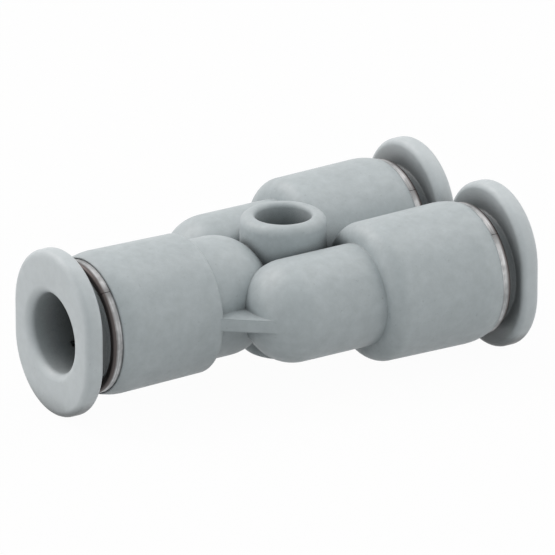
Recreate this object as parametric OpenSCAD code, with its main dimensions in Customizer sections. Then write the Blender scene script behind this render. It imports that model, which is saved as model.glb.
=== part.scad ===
// Push-in Y fitting for air tube, one size on all three ports.
// The stem port opens towards -X and the two branch ports towards +X, side by side along Y.
// The origin is on the axis of the fixing hole, halfway up it. All lengths are in millimetres.

/* [Tube] */
// Outer diameter of the tube that pushes into each port
tube_d = 6; // [5.6:0.1:6.4]
// Radial room between the tube and the bores that guide it
tube_clear = 0.1; // [0.05:0.01:0.2]

/* [Layout] */
// From the fixing hole to the mouth of the stem socket
stem_reach = 17.45; // [17:0.05:19]
// From the fixing hole to the mouths of the branch sockets
branch_reach = 12.85; // [12.6:0.05:15]
// Free gap between the two branch sockets at their mouths
branch_gap = 0.16; // [0.08:0.02:2]

/* [Sockets] */
// Body wall around the guide ring at the mouth
mouth_wall = 0.37; // [0.3:0.01:0.7]
// How much smaller the socket's radius is at its shoulder
socket_draft = 0.16; // [0:0.01:0.3]
// Length of the stem socket, from mouth to shoulder
stem_socket_len = 8.8; // [7.5:0.1:9.3]
// Length of each branch socket, from mouth to shoulder
branch_socket_len = 9.7; // [9.2:0.1:10.2]
// Flat lip left around the guide ring at the mouth
mouth_lip = 0.06; // [0.02:0.01:0.2]
// How far the rounding of the mouth runs back along the socket
mouth_round_len = 1.7; // [0.6:0.1:2.4]
// Rounding of the stem socket's shoulder
stem_shoulder_r = 0.3; // [0.1:0.05:0.6]
// Rounding of the branch sockets' shoulders
branch_shoulder_r = 1.35; // [0.3:0.05:1.4]

/* [Neck and arms] */
// Diameter of the neck behind the stem socket
neck_d = 9.2; // [8:0.1:10]
// How far the neck's dome stops short of the fixing hole's axis
neck_stop = 2.2; // [1.5:0.1:2.5]
// Rounding of the neck's dome
neck_round = 3.9; // [3:0.1:4.2]
// Diameter of each branch arm
arm_d = 7.9; // [7.2:0.05:8.4]
// How far each arm runs past the fixing hole's axis towards the stem
arm_past = 6.4; // [5.6:0.05:6.8]
// Rounding of each arm's blind end
arm_round = 3.5; // [2.4:0.1:3.9]
// Thickness of the flat webs at mid height
web_t = 1; // [0.6:0.1:1.6]
// How far the web between the branch sockets stops short of their mouths
web_inset = 1.2; // [0.6:0.1:4]

/* [Fixing boss] */
// Diameter of the through hole for a fixing screw
fixing_hole_d = 4.3; // [3.4:0.1:4.4]
// Wall of the boss around the hole
boss_wall = 1.15; // [0.9:0.05:1.5]
// Height of the boss from end to end
boss_h = 10.8; // [9.6:0.1:12]
// Rounding of the boss's outer edges
boss_edge_r = 0.75; // [0.1:0.05:0.8]
// Rounding of the hole's edges
hole_edge_r = 0.35; // [0.05:0.05:0.35]

/* [Release rings] */
// Height of the oval flange
flange_h = 12.95; // [11.4:0.05:14]
// Side room between the two branch flanges
flange_side_gap = 0.6; // [0.4:0.05:1.5]
// Thickness of the flange
flange_t = 1.55; // [1.2:0.05:2]
// Rounding of the flange's outer edges
flange_edge_r = 0.5; // [0.1:0.02:0.55]
// Rounding of the bore's mouth in the flange
entry_r = 0.65; // [0.2:0.05:0.9]
// Wall of the sleeve that slides in the guide ring
sleeve_wall = 1.25; // [1:0.05:1.4]
// How far the ring is pushed in before the flange meets the guide ring
push_travel = 0.85; // [0.6:0.05:0.9]
// Height of the snap barb above the sleeve
barb_h = 0.32; // [0.2:0.02:0.4]
// Length of the snap barb's crest
barb_len = 0.3; // [0.2:0.05:0.4]
// Wall of the nose behind the barb
nose_wall = 0.65; // [0.5:0.05:0.8]
// Length of the straight nose, without its tapers
nose_len = 0.6; // [0.4:0.05:0.7]
// Width of the slits that let the barb spring
slit_w = 0.5; // [0.3:0.05:0.8]
// Number of slits around the sleeve, an even number
slit_count = 4; // [2:2:6]

/* [Guide rings] */
// Wall of the guide ring around the barb
ring_wall = 0.33; // [0.25:0.01:0.45]
// How far the ring's rim stands out of the mouth
rim_h = 0.8; // [0.5:0.05:0.9]
// How deep the ring's lip reaches into the mouth
lip_depth = 0.4; // [0.3:0.05:0.5]
// How deep the whole ring sits in the mouth
ring_depth = 2.2; // [2.15:0.05:2.4]
// Rounding of the rim
rim_edge_r = 0.26; // [0.05:0.01:0.28]
// Width of the seam where the rolled ring closes
seam_w = 0.14; // [0.08:0.01:0.25]
// Height angle of the seam, from level towards the top
seam_angle = 49; // [0:1:90]

/* [Lock claws] */
// Sheet thickness of the claws
claw_t = 0.25; // [0.2:0.01:0.3]
// Number of claws around the tube, an even number
claw_count = 8; // [6:2:12]
// Gap between two claws
claw_gap = 0.5; // [0.3:0.05:0.8]
// How far the claws lean back from their ring
claw_lean = 1.3; // [1.2:0.05:1.5]
// How far the claws' ring reaches inside its seat
claw_ring_w = 0.72; // [0.6:0.02:0.8]

/* [Seals] */
// Length of the seal's seat behind the shelf that holds the claws' ring
seal_seat_len = 4; // [3.8:0.1:4.4]
// Radius of the seal's two sealing beads
bead_r = 0.35; // [0.3:0.01:0.4]

/* [Passages] */
// Depth of the tube's end seat behind the seal
tube_seat_len = 2.55; // [2.2:0.05:2.7]
// Diameter of the air passage behind each tube stop
flow_d = 4.4; // [3:0.1:4.6]
// Width of the cross passage that joins the three ports
cross_w = 2.3; // [1.6:0.1:2.4]
// Wall left between the cross passage and the fixing hole
cross_wall = 0.6; // [0.5:0.05:0.7]

/* [Clearances] */
// Radial room between the sleeve and the guide ring
slide_clear = 0.1; // [0.05:0.01:0.15]
// Radial room between a fitted ring and its seat in the body
seat_clear = 0.05; // [0.02:0.01:0.06]
// Room between parts that nearly touch end to end
end_clear = 0.05; // [0.02:0.01:0.1]
// Room between the claws and the seal behind them
claw_clear = 0.1; // [0.05:0.01:0.2]
// Radial room drawn at the tube for the claws' points and the seals' beads
grip_clear = 0.02; // [0:0.01:0.05]

/* [Colours] */
// Moulded body
body_colour = "#9EA8AC";
// Release rings
ring_colour = "#A8AFB2";
// Plated guide rings
metal_colour = "#C9C8C6";
// Spring sheet of the claws
claw_colour = "#B9BBBC";
// Rubber of the seals
seal_colour = "#26282A";

/* [Hidden] */
$fn = 48;
// Cuts run this far past the faces that they open
over = 1;
hair = 0.004;

// Radii in a port, from the tube outwards
bore_r = tube_d / 2 + tube_clear;
sleeve_r = bore_r + sleeve_wall;
lip_r = sleeve_r + slide_clear;
barb_r = sleeve_r + barb_h;
recess_r = barb_r + slide_clear;
ring_r = recess_r + ring_wall;
ring_seat_r = ring_r + seat_clear;
socket_r = ring_seat_r + mouth_wall;
nose_r = bore_r + nose_wall;
claw_outer_r = ring_r;
claw_inner_r = claw_outer_r - claw_ring_w;
claw_point_r = tube_d / 2 + grip_clear;
claw_bend = atan2(claw_lean, claw_inner_r - claw_point_r);
seal_seat_r = claw_inner_r + claw_t * tan(claw_bend / 2) + end_clear;
seal_r = seal_seat_r - seat_clear;
bead_centre_r = tube_d / 2 + grip_clear + bead_r;

// Depths in a port, below its mouth
shelf_depth = ring_depth + claw_t;
claw_point_depth = ring_depth + claw_lean;
seal_end = shelf_depth + seal_seat_len;
tube_stop = seal_end + tube_seat_len;
barb_top = lip_depth + end_clear;
barb_taper = barb_r - nose_r;
barb_end = barb_top + barb_len + barb_taper / 2;
nose_end = barb_end + nose_len;
nose_tip_wall = 0.2;
nose_tip = nose_end + nose_wall - nose_tip_wall;

// Flange, in front of the mouth
flange_back = rim_h + push_travel + end_clear;
flange_front = flange_back + flange_t;
branch_pitch = 2 * socket_r + branch_gap;
flange_r = (branch_pitch - flange_side_gap) / 2;
flange_offset = flange_h / 2 - flange_r;

// Places along X
stem_shoulder_x = -stem_reach + stem_socket_len;
arm_tip_x = -arm_past;
cross_x = -fixing_hole_d / 2 - cross_wall - cross_w / 2;
boss_r = fixing_hole_d / 2 + boss_wall;
arm_y = branch_pitch / 2;

// The gusset's free edge leaves the stem's shoulder and dips into the side of the arm's round end
gusset_sink = 0.12;
gusset_start = [stem_shoulder_x - stem_shoulder_r, socket_r - socket_draft];
arm_corner = [arm_tip_x + arm_round, arm_y + arm_d / 2 - arm_round];
gusset_run = norm(arm_corner - gusset_start);
gusset_reach = arm_round - gusset_sink;
gusset_turn = atan2(arm_corner[1] - gusset_start[1], arm_corner[0] - gusset_start[0])
    + asin(gusset_reach / gusset_run);
gusset_len = sqrt(gusset_run * gusset_run - gusset_reach * gusset_reach);
gusset_end = gusset_start + gusset_len * [cos(gusset_turn), sin(gusset_turn)];

// Places a part that is modelled at a mouth, with +Z out of the port, on the stem port
module on_stem() {
    mirror([1, 0, 0]) translate([stem_reach, 0, 0]) rotate([0, 90, 0]) children();
}

// The same on a branch port, side 1 for the left and -1 for the right
module on_branch(side) {
    translate([branch_reach, side * arm_y, 0]) rotate([0, 90, 0]) children();
}

// Turns a profile drawn as [radius, distance along the axis]
module turned() {
    rotate_extrude($fn = 96) children();
}

// Bar of a round section whose far end is rounded, as a profile
module blunt_profile(r, len, round_r) {
    square([r, len - round_r]);
    square([r - round_r, len]);
    translate([r - round_r, len - round_r]) intersection() {
        circle(round_r);
        square(round_r);
    }
}

// Drafted socket as a profile, from its mouth at 0 to its shoulder at len.
// A wide arc rounds the mouth down to its lip, and a smaller one rounds the shoulder.
// Both stand a hair proud of the straight wall, so that they cross it instead of grazing it.
module socket_profile(len, shoulder_r) {
    lean = atan(socket_draft / len);
    inward = [-cos(lean), -sin(lean)];
    lip = [ring_seat_r + mouth_lip, 0];
    mouth_on = [socket_r - mouth_round_len * tan(lean), mouth_round_len];
    mouth_r = pow(norm(lip - mouth_on), 2) / (2 * inward * (lip - mouth_on));
    shoulder_run = len - shoulder_r * (1 - sin(lean));
    shoulder_on = [socket_r - shoulder_run * tan(lean), shoulder_run];
    shoulder_centre = shoulder_on + shoulder_r * inward;
    polygon([
        [0, 0], [lip[0] - hair, 0], mouth_on + hair * inward, shoulder_on + hair * inward,
        shoulder_centre, [shoulder_centre[0], len], [0, len]
    ]);
    intersection() {
        translate(mouth_on + mouth_r * inward) circle(mouth_r);
        square([socket_r, 2 * mouth_round_len]);
    }
    translate(shoulder_centre) circle(shoulder_r);
}

// Boss that joins the two arms, rounded at both ends
module boss_solid() {
    for (end = [0, 1]) mirror([0, 0, end]) turned() blunt_profile(boss_r, boss_h / 2, boss_edge_r);
}

// Through hole with rounded edges at both ends
module fixing_hole() {
    cylinder(h = boss_h + 2 * over, d = fixing_hole_d, center = true, $fn = 96);
    for (end = [0, 1]) mirror([0, 0, end]) translate([0, 0, boss_h / 2]) turned() difference() {
        translate([0, -hole_edge_r]) square([fixing_hole_d / 2 + hole_edge_r, hole_edge_r + over]);
        translate([fixing_hole_d / 2 + hole_edge_r, -hole_edge_r]) circle(hole_edge_r);
    }
}

// Flat web between the stem's shoulder and one arm
module gusset() {
    linear_extrude(web_t, center = true) polygon([
        [gusset_start[0], 0], gusset_start, gusset_end, [arm_corner[0], gusset_end[1]], [arm_corner[0], 0]
    ]);
}

// Everything that a port takes in, as one cut: ring seat, seal seat, tube seat and passage
module port_cut(passage_end) {
    turned() polygon([
        [0, over], [ring_seat_r, over], [ring_seat_r, -shelf_depth],
        [seal_seat_r, -shelf_depth], [seal_seat_r, -seal_end],
        [bore_r, -seal_end], [bore_r, -tube_stop],
        [flow_d / 2, -tube_stop], [flow_d / 2, -passage_end], [0, -passage_end]
    ]);
}

// Upright slot from arm to arm that joins the three passages
module cross_passage() {
    translate([cross_x, 0, 0]) rotate([90, 0, 0]) linear_extrude(branch_pitch, center = true) {
        square([cross_w, flow_d - cross_w], center = true);
        for (side = [-1, 1]) translate([0, side * (flow_d - cross_w) / 2]) circle(d = cross_w);
    }
}

module body() {
    color(body_colour) difference() {
        union() {
            on_stem() mirror([0, 0, 1]) turned() socket_profile(stem_socket_len, stem_shoulder_r);
            on_stem() mirror([0, 0, 1]) turned()
                blunt_profile(neck_d / 2, stem_reach - neck_stop, neck_round);
            for (side = [-1, 1]) {
                on_branch(side) mirror([0, 0, 1]) turned()
                    socket_profile(branch_socket_len, branch_shoulder_r);
                on_branch(side) mirror([0, 0, 1]) turned()
                    blunt_profile(arm_d / 2, branch_reach + arm_past, arm_round);
            }
            for (side = [0, 1]) mirror([0, side, 0]) gusset();
            translate([0, -arm_y, -web_t / 2]) cube([branch_reach - web_inset, branch_pitch, web_t]);
            boss_solid();
        }
        on_stem() port_cut(stem_reach + cross_x);
        for (side = [-1, 1]) on_branch(side) port_cut(branch_reach - cross_x);
        cross_passage();
        fixing_hole();
    }
}

// Half of the flange's section: flat faces and a rounded rim
module rim_profile() {
    translate([0, flange_edge_r]) square([flange_r, flange_t - 2 * flange_edge_r]);
    square([flange_r - flange_edge_r, flange_t]);
    for (z = [flange_edge_r, flange_t - flange_edge_r])
        translate([flange_r - flange_edge_r, z]) circle(flange_edge_r);
}

// Oval plate: two half discs and the straight stretch between them, upright along X
module oval_flange() {
    for (end = [-1, 1]) translate([end * flange_offset, 0, 0])
        rotate_extrude(angle = 180, start = -90 * end, $fn = 96) rim_profile();
    rotate([90, 0, 90]) linear_extrude(2 * flange_offset, center = true) {
        rim_profile();
        mirror([1, 0]) rim_profile();
    }
}

// Sleeve with its snap barb and the tapered nose that opens the claws
module sleeve() {
    turned() polygon([
        [0, flange_back + flange_t / 2], [sleeve_r, flange_back + flange_t / 2],
        [sleeve_r, -barb_top], [barb_r, -barb_top], [barb_r, -barb_top - barb_len],
        [nose_r, -barb_end], [nose_r, -nose_end], [bore_r + nose_tip_wall, -nose_tip], [0, -nose_tip]
    ]);
}

// Bore with a rounded mouth
module tube_bore() {
    turned() {
        translate([0, -nose_tip - over]) square([bore_r, nose_tip + flange_front + 2 * over]);
        difference() {
            translate([0, flange_front - entry_r]) square([bore_r + entry_r, entry_r + over]);
            translate([bore_r + entry_r, flange_front - entry_r]) circle(entry_r);
        }
    }
}

module release_ring() {
    color(ring_colour) difference() {
        union() {
            translate([0, 0, flange_back]) oval_flange();
            sleeve();
        }
        tube_bore();
        for (i = [0 : slit_count / 2 - 1]) rotate([0, 0, (i + 0.5) * 360 / slit_count])
            translate([-barb_r - over, -slit_w / 2, -nose_tip - over])
                cube([2 * (barb_r + over), slit_w, nose_tip + over]);
    }
}

// Rolled metal ring: thin wall in the mouth, thicker rounded lip that stands out of it
module guide_ring() {
    color(metal_colour) difference() {
        turned() difference() {
            union() {
                translate([lip_r, -ring_depth])
                    square([ring_r - lip_r, ring_depth + rim_h - rim_edge_r]);
                translate([lip_r + rim_edge_r, 0])
                    square([ring_r - lip_r - 2 * rim_edge_r, rim_h]);
                for (r = [lip_r + rim_edge_r, ring_r - rim_edge_r])
                    translate([r, rim_h - rim_edge_r]) circle(rim_edge_r);
            }
            translate([0, -ring_depth - over]) square([recess_r, ring_depth + over - lip_depth]);
        }
        rotate([0, 0, 180 + atan2(cos(seam_angle), sin(seam_angle))])
            translate([0, -seam_w / 2, -ring_depth - over])
                cube([ring_r + over, seam_w, ring_depth + rim_h + 2 * over]);
    }
}

// Spring sheet ring with claws that lean in and back
module lock_claws() {
    point = [claw_point_r, claw_point_depth];
    color(claw_colour) difference() {
        turned() mirror([0, 1]) polygon([
            [claw_outer_r, ring_depth], [claw_inner_r, ring_depth], point,
            point + claw_t * [sin(claw_bend), cos(claw_bend)],
            [claw_inner_r + claw_t * tan(claw_bend / 2), shelf_depth], [claw_outer_r, shelf_depth]
        ]);
        for (i = [0 : claw_count / 2 - 1]) rotate([0, 0, i * 360 / claw_count])
            translate([-claw_inner_r, -claw_gap / 2, -claw_point_depth - over])
                cube([2 * claw_inner_r, claw_gap, claw_lean + 2 * over]);
    }
}

// Rubber sleeve: a coned front behind the claws and two rounded beads around the tube
module seal() {
    rise = (claw_t + claw_clear) / cos(claw_bend);
    front_outer = ring_depth + rise + (claw_inner_r - seal_r) * tan(claw_bend);
    front_inner = ring_depth + rise + (claw_inner_r - bead_centre_r) * tan(claw_bend);
    color(seal_colour) turned() mirror([0, 1]) {
        polygon([
            [seal_r, front_outer], [seal_r, seal_end], [bead_centre_r, seal_end],
            [bead_centre_r, front_inner]
        ]);
        for (depth = [front_inner + claw_clear + bead_r, seal_end - bead_r])
            translate([bead_centre_r, depth]) circle(bead_r);
    }
}

body();
on_stem() release_ring();  // stem_release_ring
on_branch(1) release_ring();  // left_release_ring
on_branch(-1) release_ring();  // right_release_ring
on_stem() guide_ring();  // stem_guide_ring
on_branch(1) guide_ring();  // left_guide_ring
on_branch(-1) guide_ring();  // right_guide_ring
on_stem() lock_claws();  // stem_lock_claws
on_branch(1) lock_claws();  // left_lock_claws
on_branch(-1) lock_claws();  // right_lock_claws
on_stem() seal();  // stem_seal
on_branch(1) seal();  // left_seal
on_branch(-1) seal();  // right_seal
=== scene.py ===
"""Push-in Y fitting for 6 mm air tube: its pieces as they look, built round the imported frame.

The file is laid out as a Blender add-on and is run as a script. Its sizes and colours are properties
in the sidebar's Fitting tab, and each group of like pieces has its own operator.
"""

import math

import bmesh
import bpy
from bpy.props import FloatProperty, FloatVectorProperty, IntProperty, PointerProperty
from mathutils import Matrix, Vector


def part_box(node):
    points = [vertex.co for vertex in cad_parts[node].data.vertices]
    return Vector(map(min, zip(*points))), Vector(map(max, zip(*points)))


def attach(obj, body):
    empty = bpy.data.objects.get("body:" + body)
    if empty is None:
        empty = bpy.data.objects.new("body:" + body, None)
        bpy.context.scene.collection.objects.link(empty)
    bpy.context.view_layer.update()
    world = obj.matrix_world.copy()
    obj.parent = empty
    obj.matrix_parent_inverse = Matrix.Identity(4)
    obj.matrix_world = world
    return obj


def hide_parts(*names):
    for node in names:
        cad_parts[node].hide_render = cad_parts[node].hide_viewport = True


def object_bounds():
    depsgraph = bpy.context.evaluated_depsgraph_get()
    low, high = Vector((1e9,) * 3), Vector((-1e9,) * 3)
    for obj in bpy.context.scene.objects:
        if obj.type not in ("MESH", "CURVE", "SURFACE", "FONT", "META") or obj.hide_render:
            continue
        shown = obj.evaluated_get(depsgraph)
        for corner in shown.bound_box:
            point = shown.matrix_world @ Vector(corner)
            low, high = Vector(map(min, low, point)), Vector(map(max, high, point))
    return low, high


bl_info = {
    "name": "Push-in Y fitting",
    "version": (1, 0, 0),
    "blender": (4, 5, 0),
    "location": "View3D > Sidebar > Fitting",
    "description": "Finishes the pieces of a push-in Y fitting and sets its studio",
    "category": "Object",
}

MM = 0.001
PORTS = ("stem", "left", "right")
ROOT_BODY = "fitting"
WHITE = (1, 1, 1, 1)

# Edges that turn more than this are creases, and all others shade smoothly
CREASE_ANGLE = math.radians(32)
# Points of one piece that lie closer together than this are one point
WELD = 1e-6
# A rounded corner of a section is drawn in this many steps, and a full turn in this many
CORNER_STEPS = 7
TURN_STEPS = 192
# The path that a section follows runs at about its own radius, so that the ends are cut true
PATH_RADIUS = 4.8 * MM

# A release ring's face is outside its bore if it lies this much further out than the claws' points
BORE_MARGIN = 0.7 * MM
# and it is on the sleeve if it also lies this far behind the flange
FLANGE_MARGIN = 0.01 * MM
# Rounding of a seal's outer edges, and the way from its coned front to its first bead
SEAL_EDGE = 0.05 * MM
BEAD_LEAD = 0.1 * MM

# Noise stays mostly within the first of these ranges, the second gives its lumps clearer edges, and only
# its rare peaks reach the third
NOISE_RANGE = (0.3, 0.7)
LUMP_RANGE = (0.35, 0.65)
PEAK_RANGE = (0.67, 0.77)
# Painted shade looks for a hollow within the first of these reaches, and for a deep hole within the second
HOLLOW_REACH = 2.4 * MM
HOLE_REACH = 9 * MM
# Rays that look for a hollow, and rays that round an edge
HOLLOW_SAMPLES = 8
EDGE_SAMPLES = 6
# Shades of a plastic, as shares of its colour: a streak, a speck, painted shade deep in a hole, and the
# painted tones of a release ring's sleeve
STREAK_SHADE = 0.6
SPECK_SHADE = 0.55
HOLE_PAINTED_SHADE = 0.1
SLEEVE_UNDER_LIP_TONE = 1.2
SLEEVE_PAINTED_SHADE = 0.24
# Shades of the nickel, as shares of its colour: light and dark lines, clouds, and the darker ends at the
# seam
LIGHT_LINE_SHADE = 1.25
DARK_LINE_SHADE = 0.78
CLOUD_SHADE = 0.6
SEAM_END_SHADE = 0.5
# Depth of the relief on moulded plastic, on rolled nickel and on rubber
SKIN_DEPTH = 0.006 * MM
LINE_DEPTH = 0.004 * MM
BLOOM_DEPTH = 0.004 * MM

# Name, azimuth and elevation in degrees, and power in watts of each softbox
SOFTBOXES = (
    ("Back_softbox", 120, 50, 0.72),
    ("Branch_softbox", 0, 50, 0.3),
    ("Stem_side_softbox", 165, 14, 0.22),
    ("Branch_side_softbox", 315, 14, 0.2),
)
# The floor reaches this far from the middle each way
FLOOR_REACH = 0.6
# The floor shows this share of plain white to the camera, and the rest carries the shadow
FLOOR_WHITE = 0.97
# The camera's sensor in millimetres, and the nearest and the furthest that it sees in metres
SENSOR_WIDTH = 36
NEAR_CLIP, FAR_CLIP = 0.05, 5

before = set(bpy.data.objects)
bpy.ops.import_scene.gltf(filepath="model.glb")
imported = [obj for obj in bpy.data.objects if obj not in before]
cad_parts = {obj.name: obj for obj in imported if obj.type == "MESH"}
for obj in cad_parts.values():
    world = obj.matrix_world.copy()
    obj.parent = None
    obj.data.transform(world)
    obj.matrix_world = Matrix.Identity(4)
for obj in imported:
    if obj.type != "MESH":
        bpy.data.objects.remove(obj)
CAD_BOX = [list(corner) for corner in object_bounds()]


# Places and sizes that come from the frame


def port_matrix(port):
    """Places what is made round the X axis, with the ring's front at 0 and +X out of the port."""
    low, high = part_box(port + "_guide_ring")
    axis_y = (low.y + high.y) / 2
    if port == "stem":
        return Matrix.Translation((low.x, axis_y, 0)) @ Matrix.Rotation(math.pi, 4, "Z")
    return Matrix.Translation((high.x, axis_y, 0))


def depths(port, kind):
    """Front and back of a node along its port, as depths behind the guide ring's front."""
    ring_low, ring_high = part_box(port + "_guide_ring")
    low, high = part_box(port + "_" + kind)
    if port == "stem":
        return low.x - ring_low.x, high.x - ring_low.x
    return ring_high.x - high.x, ring_high.x - low.x


def outer_radius(port, kind):
    """Outer radius of a round node of a port."""
    low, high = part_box(port + "_" + kind)
    return (high.z - low.z) / 2


# Properties


def linear(hex_colour):
    """An sRGB hex colour as the three linear values that a shader takes."""
    channels = [int(hex_colour[i : i + 2], 16) / 255 for i in (1, 3, 5)]
    return tuple(c / 12.92 if c <= 0.04045 else ((c + 0.055) / 1.055) ** 2.4 for c in channels)


def length(name, description, default_mm):
    return FloatProperty(
        name=name,
        description=description,
        default=default_mm * MM,
        min=0,
        unit="LENGTH",
        precision=5,
    )


def angle(name, description, default_degrees):
    return FloatProperty(
        name=name,
        description=description,
        default=math.radians(default_degrees),
        subtype="ANGLE",
    )


def colour(name, description, hex_colour):
    return FloatVectorProperty(
        name=name,
        description=description,
        default=linear(hex_colour),
        min=0,
        max=1,
        size=3,
        subtype="COLOR",
    )


class FITTING_PG_look(bpy.types.PropertyGroup):
    """Sizes and colours of the fitting's pieces."""

    body_colour: colour("Body", "Colour of the moulded body", "#A6AFB2")
    release_colour: colour("Release rings", "Colour of the release rings", "#B6BEC1")
    nickel_colour: colour("Nickel", "Colour of the guide rings' plating", "#A8AAAB")
    # Painted reflection: the dark colour painted on the front of the guide rings' lip, for the flange's
    # back that it reflects
    lip_reflection_colour: colour("Brass", "Colour of the brass where the plating is thin", "#55504F")
    steel_colour: colour("Spring steel", "Colour of the lock claws", "#B9BBBC")
    rubber_colour: colour("Rubber", "Colour of the seals", "#26282A")
    lip_radius: length("Lip radius", "Inner radius of the guide ring's lip", 4.45)
    recess_radius: length("Recess radius", "Inner radius of the guide ring behind its lip", 4.77)
    lip_length: length("Lip length", "Length of the guide ring's lip", 1.2)
    rim_rounding: length("Rim rounding", "Rounding of the guide ring's front edges", 0.26)
    seam_width: length("Seam width", "Gap where the rolled guide ring closes", 0.03)
    seam_angle: angle("Seam angle", "Height angle of the seam", 49)
    flange_thickness: length("Flange thickness", "Thickness of the release rings' flange", 1.55)
    claw_count: IntProperty(
        name="Claws",
        description="Number of claws round a tube",
        default=8,
        min=3,
        max=16,
    )
    claw_sheet: length("Claw sheet", "Thickness of the claws' spring sheet", 0.25)
    claw_gap: length("Claw gap", "Gap between two claws", 0.5)
    claw_lean: angle("Claw lean", "How far a claw leans into the port", 43.708)
    claw_ring_radius: length("Claw ring radius", "Inner radius of the claws' ring", 4.38)
    claw_point_radius: length("Claw point radius", "Radius of the circle through the claws' points", 3.02)
    bead_radius: length("Bead radius", "Radius of the seal's rounded beads", 0.35)


class FITTING_PG_studio(bpy.types.PropertyGroup):
    """Places of the camera and of the light."""

    azimuth: angle("Azimuth", "Angle of the camera round the fitting", -32.82)
    elevation: angle("Elevation", "Height angle of the camera", 21.17)
    distance: length("Distance", "From the camera to the point it looks at", 757.4)
    view_width: length("View width", "Width of the view where the camera aims", 42.03)
    aim: FloatVectorProperty(
        name="Aim",
        description="Point that the camera looks at",
        default=(0.04 * MM, 0.85 * MM, -0.08 * MM),
        size=3,
        subtype="XYZ",
        unit="LENGTH",
        precision=5,
    )
    fill: FloatProperty(
        name="Fill",
        description="Strength of the light from all round",
        default=0.63,
        min=0,
    )
    floor_grey: FloatProperty(
        name="Floor grey",
        description="Share of the light that the floor gives back",
        default=0.57,
        min=0,
        max=1,
        subtype="FACTOR",
    )
    softbox: length("Softbox", "Side of each square softbox", 250)
    lamp_distance: length("Lamp distance", "From the fitting to each softbox", 350)
    fill_tint: colour("Fill tint", "Slightly cool tint of the light from all round", "#FCFFFF")
    lamp_tint: colour("Lamp tint", "Slightly warm tint of the softboxes", "#FFF6F3")


def look():
    return bpy.context.scene.fitting_look


def studio():
    return bpy.context.scene.fitting_studio


# Nodes and what the finishes share


def add_node(tree, kind, inputs=None, output=0, **settings):
    """Adds one node with its settings and its inputs, and returns one of its outputs.

    Inputs and the output go by name or number. An input is a plain value or the output that feeds it.
    """
    node = tree.nodes.new(kind)
    for name, value in settings.items():
        setattr(node, name, value)
    for key, value in (inputs or {}).items():
        if isinstance(value, bpy.types.NodeSocket):
            tree.links.new(value, node.inputs[key])
        else:
            node.inputs[key].default_value = value
    return node.outputs[output] if node.outputs else None


def new_material(name):
    material = bpy.data.materials.new(name)
    material.use_nodes = True
    material.node_tree.nodes.clear()
    return material, material.node_tree


def end_with_shader(tree, inputs):
    """Gives a finish its surface, and ends its tree with it."""
    surface = add_node(tree, "ShaderNodeBsdfPrincipled", inputs)
    add_node(tree, "ShaderNodeOutputMaterial", {"Surface": surface})


def shade_of(rgb, factor=1.0):
    """A colour made lighter or darker, with the fourth value that a colour socket needs."""
    return tuple(channel * factor for channel in rgb) + (1.0,)


def coat(tree, under, over, pattern, span, most=1.0):
    """Lays a colour over another: none where the pattern starts its span, and the most where it ends.

    A Mix node names the inputs of all its kinds alike, so those of its colours are numbered.
    """
    start, end = span
    ramp = {"Value": pattern, "From Min": start, "From Max": end, "To Max": most}
    share = add_node(tree, "ShaderNodeMapRange", ramp)
    return add_node(tree, "ShaderNodeMix", {0: share, 6: under, 7: over}, 2, data_type="RGBA")


# Finishes


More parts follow.
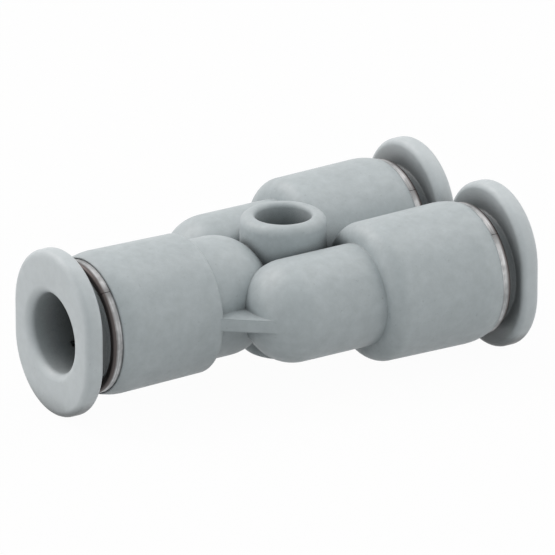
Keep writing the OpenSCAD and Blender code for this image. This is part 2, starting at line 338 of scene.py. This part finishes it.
def moulded_plastic(
    name,
    rgb,
    roughness,
    clouds,
    specks,
    skin_mm,
    edge_mm,
    hollow_span,
    hollow_shade,
    hole_span,
    sees_others,
    has_sleeve,
):
    """Injection-moulded plastic from a matt tool.

    Filler and flow leave a cloudy tint and a scatter of faint dark specks. The tool's spark-eroded skin
    breaks up the highlight, and every edge is slightly soft. Shade is painted into the colour where faces
    meet, deep in holes and over a release ring's sleeve. The real skin and specks are too fine to show, so
    they are drawn a few times coarser.
    """
    material, tree = new_material(name)
    place = add_node(tree, "ShaderNodeTexCoord", output="Object")
    # Lump size in millimetres, detail and roughness of each pattern
    patterns = ((0.8, 3.0, 0.68), (2.4, 2.0, 0.55), (0.3, 2.0, 0.6), (skin_mm, 2.0, 0.6))
    cloud, flow, speck, skin = (
        add_node(
            tree,
            "ShaderNodeTexNoise",
            {"Vector": place, "Scale": 1 / (size * MM), "Detail": detail, "Roughness": rough},
        )
        for size, detail, rough in patterns
    )
    # How open a point is within each reach: 1 in the open and near 0 deep in a hole
    near, wide = (
        add_node(
            tree,
            "ShaderNodeAmbientOcclusion",
            {"Distance": reach},
            "AO",
            samples=HOLLOW_SAMPLES,
            only_local=not sees_others,
        )
        for reach in (HOLLOW_REACH, HOLE_REACH)
    )

    tint = coat(tree, shade_of(rgb, 1 + clouds), shade_of(rgb, 1 - clouds), cloud, NOISE_RANGE)
    tint = coat(tree, tint, shade_of(rgb, STREAK_SHADE), flow, LUMP_RANGE, 1.5 * clouds)
    tint = coat(tree, tint, shade_of(rgb, SPECK_SHADE), speck, PEAK_RANGE, specks)
    # Painted shade where faces meet: the colour darkens as the point gets less open within the short reach
    tint = coat(tree, tint, shade_of(rgb, hollow_shade), near, hollow_span)
    if has_sleeve:
        # Shade is painted over the sleeve where it shows between the flange and the guide ring, darker
        # where it is open and lighter deep under the guide ring's lip
        on_sleeve, outside = (
            add_node(tree, "ShaderNodeAttribute", output="Fac", attribute_name=mark)
            for mark in ("sleeve", "outside")
        )
        under_lip_tone, grey = shade_of(rgb, SLEEVE_UNDER_LIP_TONE), shade_of(rgb, SLEEVE_PAINTED_SHADE)
        sleeve_tint = coat(tree, under_lip_tone, grey, near, (0.2, 0.42))
        tint = coat(tree, tint, sleeve_tint, on_sleeve, (0, 1))
        # Only the bore takes the painted shade of a deep hole
        wide = add_node(tree, "ShaderNodeMath", {0: wide, 1: outside}, operation="MAXIMUM")
    # Painted shade deep in a hole
    tint = coat(tree, tint, shade_of(rgb, HOLE_PAINTED_SHADE), wide, hole_span)

    soft_edges = add_node(tree, "ShaderNodeBevel", {"Radius": edge_mm * MM}, samples=EDGE_SAMPLES)
    low, high = NOISE_RANGE
    gloss = {
        "Value": cloud,
        "From Min": low,
        "From Max": high,
        "To Min": roughness - 0.04,
        "To Max": roughness + 0.05,
    }
    relief = {"Strength": 1.0, "Distance": SKIN_DEPTH, "Height": skin, "Normal": soft_edges}
    end_with_shader(
        tree,
        {
            "Base Color": tint,
            "Roughness": add_node(tree, "ShaderNodeMapRange", gloss),
            "IOR": 1.52,
            "Specular IOR Level": 0.45,
            "Normal": add_node(tree, "ShaderNodeBump", relief),
        },
    )
    return material


def pbt_body():
    """Filled PBT from a matt tool: pale blue-grey and cloudy, with painted shade where faces meet and in
    holes.
    """
    return moulded_plastic(
        "PBT_moulded_matt",
        look().body_colour,
        roughness=0.47,
        clouds=0.06,
        specks=0.4,
        skin_mm=0.16,
        edge_mm=0.22,
        hollow_span=(0.5, 0.0),
        hollow_shade=0.56,
        hole_span=(0.5, 0.07),
        sees_others=False,
        has_sleeve=False,
    )


def acetal_rings():
    """Acetal from a matt tool: lighter, smoother and a little glossier, with painted shade in its hollows,
    its bore and over its sleeve.
    """
    return moulded_plastic(
        "Acetal_moulded_satin",
        look().release_colour,
        roughness=0.44,
        clouds=0.035,
        specks=0.3,
        skin_mm=0.2,
        edge_mm=0.3,
        hollow_span=(0.92, 0.44),
        hollow_shade=0.3,
        hole_span=(0.62, 0.12),
        sees_others=True,
        has_sleeve=True,
    )


def nickel_plate():
    """Bright nickel over brass sheet that was rolled into a ring.

    Rolling leaves light and dark lines that run round the ring, and the plating is a little cloudy. A dark
    painted reflection lies on the front of the lip, and the strip is darker towards its two ends at the
    seam. The real lines are too fine to show, so they are drawn a few times coarser.
    """
    # brass holds the colour of the dark painted reflection on the front of the lip
    rgb, brass = look().nickel_colour, look().lip_reflection_colour
    material, tree = new_material("Nickel_plated_brass")
    # How far round the section and how far round the port a point lies, from 0 to 1
    across, around = (
        add_node(tree, "ShaderNodeAttribute", output="Fac", attribute_name=share)
        for share in ("across", "around")
    )
    # In millimetres: the ways round the section and round the ring, and the size of one line on them
    section_round, line_width = 7, 0.1
    ring_round, line_length = 31.5, 4.5
    widths, lengths = (
        add_node(tree, "ShaderNodeMath", {0: share, 1: whole / line}, operation="MULTIPLY")
        for share, whole, line in (
            (across, section_round, line_width),
            (around, ring_round, line_length),
        )
    )
    place = add_node(tree, "ShaderNodeCombineXYZ", {"X": widths, "Y": lengths})
    lines = add_node(
        tree,
        "ShaderNodeTexNoise",
        {"Vector": place, "Scale": 1.0, "Detail": 3.0, "Roughness": 0.6},
    )
    cloud = add_node(
        tree,
        "ShaderNodeTexNoise",
        {
            "Vector": add_node(tree, "ShaderNodeTexCoord", output="Object"),
            "Scale": 1 / (0.9 * MM),
            "Detail": 2.0,
            "Roughness": 0.55,
        },
    )
    light, dark = shade_of(rgb, LIGHT_LINE_SHADE), shade_of(rgb, DARK_LINE_SHADE)
    tint = coat(tree, light, dark, lines, LUMP_RANGE)
    tint = coat(tree, tint, shade_of(rgb, CLOUD_SHADE), cloud, (0.42, 0.62), 0.7)
    # Darker towards the strip's two ends, half the way round from its middle, where they meet at the seam
    off_middle = add_node(tree, "ShaderNodeMath", {0: around, 1: 0.5}, operation="SUBTRACT")
    off_middle = add_node(tree, "ShaderNodeMath", {0: off_middle}, operation="ABSOLUTE")
    tint = coat(tree, tint, shade_of(rgb, SEAM_END_SHADE), off_middle, (0.472, 0.496))
    # A dark painted reflection lies on the front of the lip, which lies between these shares of the way
    # round the section
    from_inside, from_outside = (
        add_node(tree, "ShaderNodeMapRange", {"Value": across, "From Min": start, "From Max": end})
        for start, end in ((0.41, 0.45), (0.585, 0.56))
    )
    front = add_node(tree, "ShaderNodeMath", {0: from_inside, 1: from_outside}, operation="MULTIPLY")
    tint = coat(tree, tint, shade_of(brass), front, (0, 1))

    low, high = NOISE_RANGE
    gloss = {"Value": lines, "From Min": low, "From Max": high, "To Min": 0.42, "To Max": 0.6}
    relief = {"Strength": 1.0, "Distance": LINE_DEPTH, "Height": lines}
    end_with_shader(
        tree,
        {
            "Base Color": tint,
            "Metallic": 1.0,
            "Roughness": add_node(tree, "ShaderNodeMapRange", gloss),
            "Normal": add_node(tree, "ShaderNodeBump", relief),
        },
    )
    return material


def spring_steel():
    """Stainless spring sheet as it leaves the mill, with a straight grain that catches light in lines."""
    rgb = look().steel_colour
    material, tree = new_material("Stainless_spring_sheet")
    # A line of the grain is 1/12 mm wide across the fitting, and 1 mm long the other two ways
    stretched = add_node(
        tree,
        "ShaderNodeMapping",
        {
            "Vector": add_node(tree, "ShaderNodeTexCoord", output="Object"),
            "Scale": (1 / MM, 12 / MM, 1 / MM),
        },
    )
    grain = add_node(
        tree,
        "ShaderNodeTexNoise",
        {"Vector": stretched, "Scale": 1.0, "Detail": 2.0, "Roughness": 0.55},
    )
    low, high = NOISE_RANGE
    gloss = {"Value": grain, "From Min": low, "From Max": high, "To Min": 0.24, "To Max": 0.4}
    end_with_shader(
        tree,
        {
            "Base Color": coat(tree, shade_of(rgb), shade_of(rgb, 0.8), grain, (0, 1)),
            "Metallic": 1.0,
            "Roughness": add_node(tree, "ShaderNodeMapRange", gloss),
        },
    )
    return material


def nitrile_rubber():
    """Compression-moulded nitrile rubber, matt and nearly black with a greyish bloom."""
    rgb = look().rubber_colour
    material, tree = new_material("Nitrile_rubber")
    # The bloom lies in patches of about half a millimetre
    bloom = add_node(
        tree,
        "ShaderNodeTexNoise",
        {
            "Vector": add_node(tree, "ShaderNodeTexCoord", output="Object"),
            "Scale": 1 / (0.5 * MM),
            "Detail": 3.0,
            "Roughness": 0.55,
        },
    )
    relief = {"Strength": 1.0, "Distance": BLOOM_DEPTH, "Height": bloom}
    end_with_shader(
        tree,
        {
            "Base Color": coat(tree, shade_of(rgb), shade_of(rgb, 1.5), bloom, (0, 1)),
            "Roughness": 0.62,
            "IOR": 1.52,
            "Normal": add_node(tree, "ShaderNodeBump", relief),
        },
    )
    return material


# Sections that Geometry Nodes sweep round a port


def make_section(corners):
    """A closed outline as a curve object, each corner given as radius, depth and rounding."""
    curve = bpy.data.curves.new("Section", "CURVE")
    curve.dimensions = "3D"
    spline = curve.splines.new("POLY")
    spline.points.add(len(corners) - 1)
    for point, (radius, depth, rounding) in zip(spline.points, corners):
        point.co = (radius, depth, 0, 1)
        point.radius = rounding
    spline.use_cyclic_u = True
    holder = bpy.data.objects.new("Section", curve)
    bpy.context.scene.collection.objects.link(holder)
    return holder


def sweep_tree():
    """The node group that turns a section round the X axis, once or as several spaced copies.

    It stores how far round the ring and how far round the section each point lies.
    """
    name = "Turned section"
    if name in bpy.data.node_groups:
        return bpy.data.node_groups[name]
    tree = bpy.data.node_groups.new(name, "GeometryNodeTree")
    tree.interface.new_socket("Geometry", in_out="OUTPUT", socket_type="NodeSocketGeometry")
    for label, kind in (
        ("Section", "Object"),
        ("Start", "Float"),
        ("Sweep", "Float"),
        ("Steps", "Int"),
        ("Closed", "Bool"),
        ("Copies", "Int"),
        ("Corner steps", "Int"),
        ("Finish", "Material"),
    ):
        tree.interface.new_socket(label, in_out="INPUT", socket_type="NodeSocket" + kind)
    given = add_node(tree, "NodeGroupInput").node.outputs

    # The section, with each corner rounded by the radius of its point
    section = add_node(tree, "GeometryNodeObjectInfo", {"Object": given["Section"]}, "Geometry")
    section = add_node(
        tree,
        "GeometryNodeFilletCurve",
        {
            "Curve": section,
            "Count": given["Corner steps"],
            "Radius": add_node(tree, "GeometryNodeInputRadius"),
            "Limit Radius": True,
        },
        mode="POLY",
    )
    # The path, a circle or the part of one that the sweep covers
    path = add_node(
        tree,
        "GeometryNodeCurveArc",
        {
            "Resolution": given["Steps"],
            "Radius": PATH_RADIUS,
            "Start Angle": given["Start"],
            "Sweep Angle": given["Sweep"],
        },
        mode="RADIUS",
    )
    path = add_node(tree, "GeometryNodeSetSplineCyclic", {"Geometry": path, "Cyclic": given["Closed"]})
    path = add_node(tree, "GeometryNodeSetCurveNormal", {"Curve": path}, mode="Z_UP")

    share = add_node(tree, "GeometryNodeSplineParameter", output="Factor")
    section, path = (
        add_node(
            tree,
            "GeometryNodeStoreNamedAttribute",
            {"Geometry": curve, "Name": attribute, "Value": share},
            data_type="FLOAT",
            domain="POINT",
        )
        for curve, attribute in ((section, "across"), (path, "around"))
    )
    # The section is drawn from the axis, so it is moved in by the radius of the path
    section = add_node(
        tree,
        "GeometryNodeTransform",
        {"Geometry": section, "Translation": (-PATH_RADIUS, 0, 0)},
    )
    swept = add_node(
        tree,
        "GeometryNodeCurveToMesh",
        {"Curve": path, "Profile Curve": section, "Fill Caps": True},
    )

    # Copies stand evenly round the axis, and then the axis is laid along X
    spots = add_node(tree, "GeometryNodePoints", {"Count": given["Copies"]})
    step = add_node(tree, "ShaderNodeMath", {0: math.tau, 1: given["Copies"]}, operation="DIVIDE")
    index = add_node(tree, "GeometryNodeInputIndex")
    turn = add_node(tree, "ShaderNodeMath", {0: index, 1: step}, operation="MULTIPLY")
    turn = add_node(tree, "ShaderNodeCombineXYZ", {"Z": turn})
    copies = add_node(
        tree,
        "GeometryNodeInstanceOnPoints",
        {"Points": spots, "Instance": swept, "Rotation": turn},
    )
    laid = add_node(
        tree,
        "GeometryNodeTransform",
        {"Geometry": copies, "Rotation": (0, math.radians(90), 0)},
    )
    real = add_node(tree, "GeometryNodeRealizeInstances", {"Geometry": laid})
    done = add_node(tree, "GeometryNodeSetMaterial", {"Geometry": real, "Material": given["Finish"]})
    add_node(tree, "NodeGroupOutput", {"Geometry": done})
    return tree


def swept_mesh(corners, material, start=0.0, sweep=math.tau, copies=1):
    """Sweeps a section round the X axis, from an angle above +Y, and bakes it into a plain mesh."""
    tree = sweep_tree()
    section = make_section(corners)
    closed = math.isclose(sweep, math.tau)
    steps = max(3, round(TURN_STEPS * sweep / math.tau))
    values = {
        "Section": section,
        # The tree lays its own X axis along -Z, so +Y is a quarter turn on
        "Start": start + math.pi / 2,
        "Sweep": math.tau * (1 - 1 / steps) if closed else sweep,
        "Steps": steps if closed else steps + 1,
        "Closed": closed,
        "Copies": copies,
        "Corner steps": CORNER_STEPS,
        "Finish": material,
    }
    holder = bpy.data.objects.new("Sweep", bpy.data.meshes.new("Sweep"))
    bpy.context.scene.collection.objects.link(holder)
    modifier = holder.modifiers.new("Turned section", "NODES")
    modifier.node_group = tree
    for item in tree.interface.items_tree:
        if item.in_out == "INPUT":
            modifier[item.identifier] = values[item.name]
    holder.update_tag()
    graph = bpy.context.evaluated_depsgraph_get()
    mesh = bpy.data.meshes.new_from_object(holder.evaluated_get(graph), depsgraph=graph)
    bpy.data.objects.remove(holder)
    bpy.data.objects.remove(section)
    if not mesh.polygons:
        raise RuntimeError("the sweep gave no faces")
    return mesh


# Meshes and pieces


def finished_mesh(sources, place=None):
    """One welded mesh made of several, with its faces outwards, put in place and shaded smoothly."""
    work = bmesh.new()
    for source in sources:
        work.from_mesh(source)
    bmesh.ops.remove_doubles(work, verts=work.verts, dist=WELD)
    bmesh.ops.recalc_face_normals(work, faces=work.faces)
    mesh = bpy.data.meshes.new("Finished")
    work.to_mesh(mesh)
    work.free()
    if "custom_normal" in mesh.attributes:
        mesh.attributes.remove(mesh.attributes["custom_normal"])
    if place is not None:
        mesh.transform(place)
    mesh.shade_smooth()
    mesh.set_sharp_from_angle(angle=CREASE_ANGLE)
    return mesh


def mark_sleeve(mesh, port):
    """Stores on a release ring's faces which of them lie outside its bore, and which on its sleeve."""
    values = look()
    to_port = port_matrix(port).inverted()
    bore_limit = values.claw_point_radius + BORE_MARGIN
    flange_back = -depths(port, "release_ring")[0] - values.flange_thickness
    outside, sleeve = [], []
    for face in mesh.polygons:
        spot = to_port @ face.center
        is_outside = math.hypot(spot.y, spot.z) > bore_limit
        outside.append(float(is_outside))
        sleeve.append(float(is_outside and spot.x < flange_back - FLANGE_MARGIN))
    for name, marks in (("outside", outside), ("sleeve", sleeve)):
        mesh.attributes.new(name, "FLOAT", "FACE").data.foreach_set("value", marks)


def add_piece(name, mesh, material, node, body):
    """Makes the object for one piece, which stands for its CAD node and rides on its body."""
    mesh.name = name
    piece = bpy.data.objects.new(name, mesh)
    bpy.context.scene.collection.objects.link(piece)
    mesh.materials.clear()
    mesh.materials.append(material)
    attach(piece, body)
    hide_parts(node)
    return piece


class FITTING_OT_body(bpy.types.Operator):
    """Finishes the moulded body"""

    bl_idname = "fitting.body"
    bl_label = "Body"

    def execute(self, context):
        mesh = finished_mesh([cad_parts["body"].data])
        add_piece("moulded_body", mesh, pbt_body(), "body", ROOT_BODY)
        return {"FINISHED"}


class FITTING_OT_release_rings(bpy.types.Operator):
    """Finishes the three release rings, each on its own body"""

    bl_idname = "fitting.release_rings"
    bl_label = "Release rings"

    def execute(self, context):
        finish = acetal_rings()
        for port in PORTS:
            node = port + "_release_ring"
            mesh = finished_mesh([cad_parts[node].data])
            mark_sleeve(mesh, port)
            add_piece(port + "_push_ring", mesh, finish, node, port + "_release")
        return {"FINISHED"}


class FITTING_OT_guide_rings(bpy.types.Operator):
    """Rolls the three guide rings, each with its seam"""

    bl_idname = "fitting.guide_rings"
    bl_label = "Guide rings"

    def execute(self, context):
        values = look()
        finish = nickel_plate()
        for port in PORTS:
            node = port + "_guide_ring"
            outer = outer_radius(port, "guide_ring")
            back = depths(port, "guide_ring")[1]
            corners = (
                (values.recess_radius, back, 0),
                (values.recess_radius, values.lip_length, 0),
                (values.lip_radius, values.lip_length, 0),
                (values.lip_radius, 0, values.rim_rounding),
                (outer, 0, values.rim_rounding),
                (outer, back, 0),
            )
            # Every seam looks towards -Y, which the half turn of the stem's port makes its own +Y
            seam = values.seam_angle if port == "stem" else math.pi - values.seam_angle
            gap = values.seam_width / outer
            strip = swept_mesh(corners, finish, seam + gap / 2, math.tau - gap)
            mesh = finished_mesh([strip], port_matrix(port))
            add_piece(port + "_rolled_ring", mesh, finish, node, ROOT_BODY)
        return {"FINISHED"}


class FITTING_OT_lock_claws(bpy.types.Operator):
    """Stamps the three sets of lock claws: a ring and its leaning claws"""

    bl_idname = "fitting.lock_claws"
    bl_label = "Lock claws"

    def execute(self, context):
        values = look()
        finish = spring_steel()
        sheet, lean = values.claw_sheet, values.claw_lean
        inner, point = values.claw_ring_radius, values.claw_point_radius
        pitch = math.tau / values.claw_count
        gap = values.claw_gap / ((inner + point) / 2)
        for port in PORTS:
            node = port + "_lock_claws"
            front, back = depths(port, "lock_claws")
            outer = outer_radius(port, "lock_claws")
            ring = (
                (outer, front, 0),
                (inner, front, 0),
                (inner, front + sheet, 0),
                (outer, front + sheet, 0),
            )
            # The claw's end is cut square to its sheet, so its back corner lies deepest
            claw = (
                (inner, front, 0),
                (point, back - sheet * math.cos(lean), 0),
                (point + sheet * math.sin(lean), back, 0),
                (inner + sheet * math.tan(lean / 2), front + sheet, 0),
            )
            stamped = (
                swept_mesh(ring, finish),
                swept_mesh(claw, finish, gap / 2, pitch - gap, values.claw_count),
            )
            mesh = finished_mesh(stamped, port_matrix(port))
            add_piece(port + "_spring_claws", mesh, finish, node, ROOT_BODY)
        return {"FINISHED"}


class FITTING_OT_seals(bpy.types.Operator):
    """Turns the three seals, each with two rounded beads and a front that follows the claws"""

    bl_idname = "fitting.seals"
    bl_label = "Seals"

    def execute(self, context):
        values = look()
        finish = nitrile_rubber()
        bead, inner = values.bead_radius, values.claw_point_radius
        neck = inner + bead
        for port in PORTS:
            node = port + "_seal"
            front, back = depths(port, "seal")
            outer = outer_radius(port, "seal")
            cone_end = front + (outer - neck) * math.tan(values.claw_lean)
            first, second = cone_end + BEAD_LEAD, back - 2 * bead
            corners = (
                (outer, front, SEAL_EDGE),
                (outer, back, SEAL_EDGE),
                (neck, back, 0),
                (inner, back, bead),
                (inner, second, bead),
                (neck, second, 0),
                (neck, first + 2 * bead, 0),
                (inner, first + 2 * bead, bead),
                (inner, first, bead),
                (neck, first, 0),
                (neck, cone_end, 0),
            )
            mesh = finished_mesh([swept_mesh(corners, finish)], port_matrix(port))
            add_piece(port + "_rubber_seal", mesh, finish, node, ROOT_BODY)
        return {"FINISHED"}


# Studio


def seen_white(tree):
    """1 for a ray that shows the background, straight to the camera or in metal or glass."""
    path = add_node(tree, "ShaderNodeLightPath").node.outputs
    seen = path["Is Camera Ray"]
    for other in ("Is Glossy Ray", "Is Transmission Ray"):
        seen = add_node(tree, "ShaderNodeMath", {0: seen, 1: path[other]}, operation="MAXIMUM")
    return seen


def set_world(scene):
    """An even world that shows as white behind the object."""
    world = bpy.data.worlds.new("Studio")
    scene.world = world
    world.use_nodes = True
    tree = world.node_tree
    tree.nodes.clear()
    tint = shade_of(studio().fill_tint)
    fill = add_node(tree, "ShaderNodeBackground", {"Color": tint, "Strength": studio().fill})
    white = add_node(tree, "ShaderNodeBackground", {"Color": WHITE, "Strength": 1.0})
    both = add_node(tree, "ShaderNodeMixShader", {0: seen_white(tree), 1: fill, 2: white})
    add_node(tree, "ShaderNodeOutputWorld", {"Surface": both})


def add_floor():
    """A pale floor under the fitting, white to the camera apart from the object's faint shadow."""
    height = CAD_BOX[0][2]
    turns = ((-1, -1), (1, -1), (1, 1), (-1, 1))
    corners = [(x * FLOOR_REACH, y * FLOOR_REACH, height) for x, y in turns]
    mesh = bpy.data.meshes.new("Floor")
    mesh.from_pydata(corners, [], [(0, 1, 2, 3)])
    floor = bpy.data.objects.new("Floor", mesh)
    bpy.context.scene.collection.objects.link(floor)
    material, tree = new_material("Studio_floor")
    share = add_node(tree, "ShaderNodeMath", {0: seen_white(tree), 1: FLOOR_WHITE}, operation="MULTIPLY")
    card = add_node(tree, "ShaderNodeBsdfDiffuse", {"Color": (studio().floor_grey,) * 3 + (1,)})
    white = add_node(tree, "ShaderNodeEmission", {"Color": WHITE, "Strength": 1.0})
    both = add_node(tree, "ShaderNodeMixShader", {0: share, 1: card, 2: white})
    add_node(tree, "ShaderNodeOutputMaterial", {"Surface": both})
    mesh.materials.append(material)


def add_softbox(name, azimuth, elevation, watts):
    """A square softbox at an angle round the fitting, counted from +X, and turned towards it."""
    azimuth, elevation = math.radians(azimuth), math.radians(elevation)
    flat = math.cos(elevation)
    away = Vector((math.cos(azimuth) * flat, math.sin(azimuth) * flat, math.sin(elevation)))
    lamp = bpy.data.lights.new(name, "AREA")
    lamp.size = studio().softbox
    lamp.energy = watts
    lamp.color = studio().lamp_tint
    holder = bpy.data.objects.new(name, lamp)
    bpy.context.scene.collection.objects.link(holder)
    holder.location = studio().lamp_distance * away
    holder.rotation_euler = (-away).to_track_quat("-Z", "Y").to_euler()


def add_camera(scene):
    """A long lens at the photograph's angle."""
    values = studio()
    azimuth, elevation = values.azimuth, values.elevation
    flat = math.cos(elevation)
    back = Vector((math.sin(azimuth) * flat, -math.cos(azimuth) * flat, math.sin(elevation)))
    camera = bpy.data.cameras.new("Camera")
    camera.sensor_width = SENSOR_WIDTH
    camera.lens = camera.sensor_width * values.distance / values.view_width
    camera.clip_start, camera.clip_end = NEAR_CLIP, FAR_CLIP
    holder = bpy.data.objects.new("Camera", camera)
    scene.collection.objects.link(holder)
    holder.location = Vector(values.aim) + values.distance * back
    holder.rotation_euler = (-back).to_track_quat("-Z", "Y").to_euler()
    scene.camera = holder


class FITTING_OT_studio(bpy.types.Operator):
    """Sets the floor, the light and the camera"""

    bl_idname = "fitting.studio"
    bl_label = "Studio"

    def execute(self, context):
        context.scene.view_settings.view_transform = "Standard"
        set_world(context.scene)
        add_floor()
        for softbox in SOFTBOXES:
            add_softbox(*softbox)
        add_camera(context.scene)
        return {"FINISHED"}


STEPS = (
    FITTING_OT_body,
    FITTING_OT_release_rings,
    FITTING_OT_guide_rings,
    FITTING_OT_lock_claws,
    FITTING_OT_seals,
    FITTING_OT_studio,
)


class FITTING_PT_panel(bpy.types.Panel):
    """Lists the fitting's steps and values"""

    bl_idname = "FITTING_PT_panel"
    bl_label = "Push-in Y fitting"
    bl_space_type = "VIEW_3D"
    bl_region_type = "UI"
    bl_category = "Fitting"

    def draw(self, context):
        for step in STEPS:
            self.layout.operator(step.bl_idname)
        for values in (look(), studio()):
            for name in type(values).__annotations__:
                self.layout.prop(values, name)


CLASSES = (FITTING_PG_look, FITTING_PG_studio, *STEPS, FITTING_PT_panel)


def register():
    for cls in CLASSES:
        bpy.utils.register_class(cls)
    bpy.types.Scene.fitting_look = PointerProperty(type=FITTING_PG_look)
    bpy.types.Scene.fitting_studio = PointerProperty(type=FITTING_PG_studio)


def unregister():
    del bpy.types.Scene.fitting_studio
    del bpy.types.Scene.fitting_look
    for cls in reversed(CLASSES):
        bpy.utils.unregister_class(cls)


def main():
    register()
    bpy.ops.fitting.body()
    bpy.ops.fitting.release_rings()
    bpy.ops.fitting.guide_rings()
    bpy.ops.fitting.lock_claws()
    bpy.ops.fitting.seals()
    bpy.ops.fitting.studio()


if __name__ == "__main__":
    main()
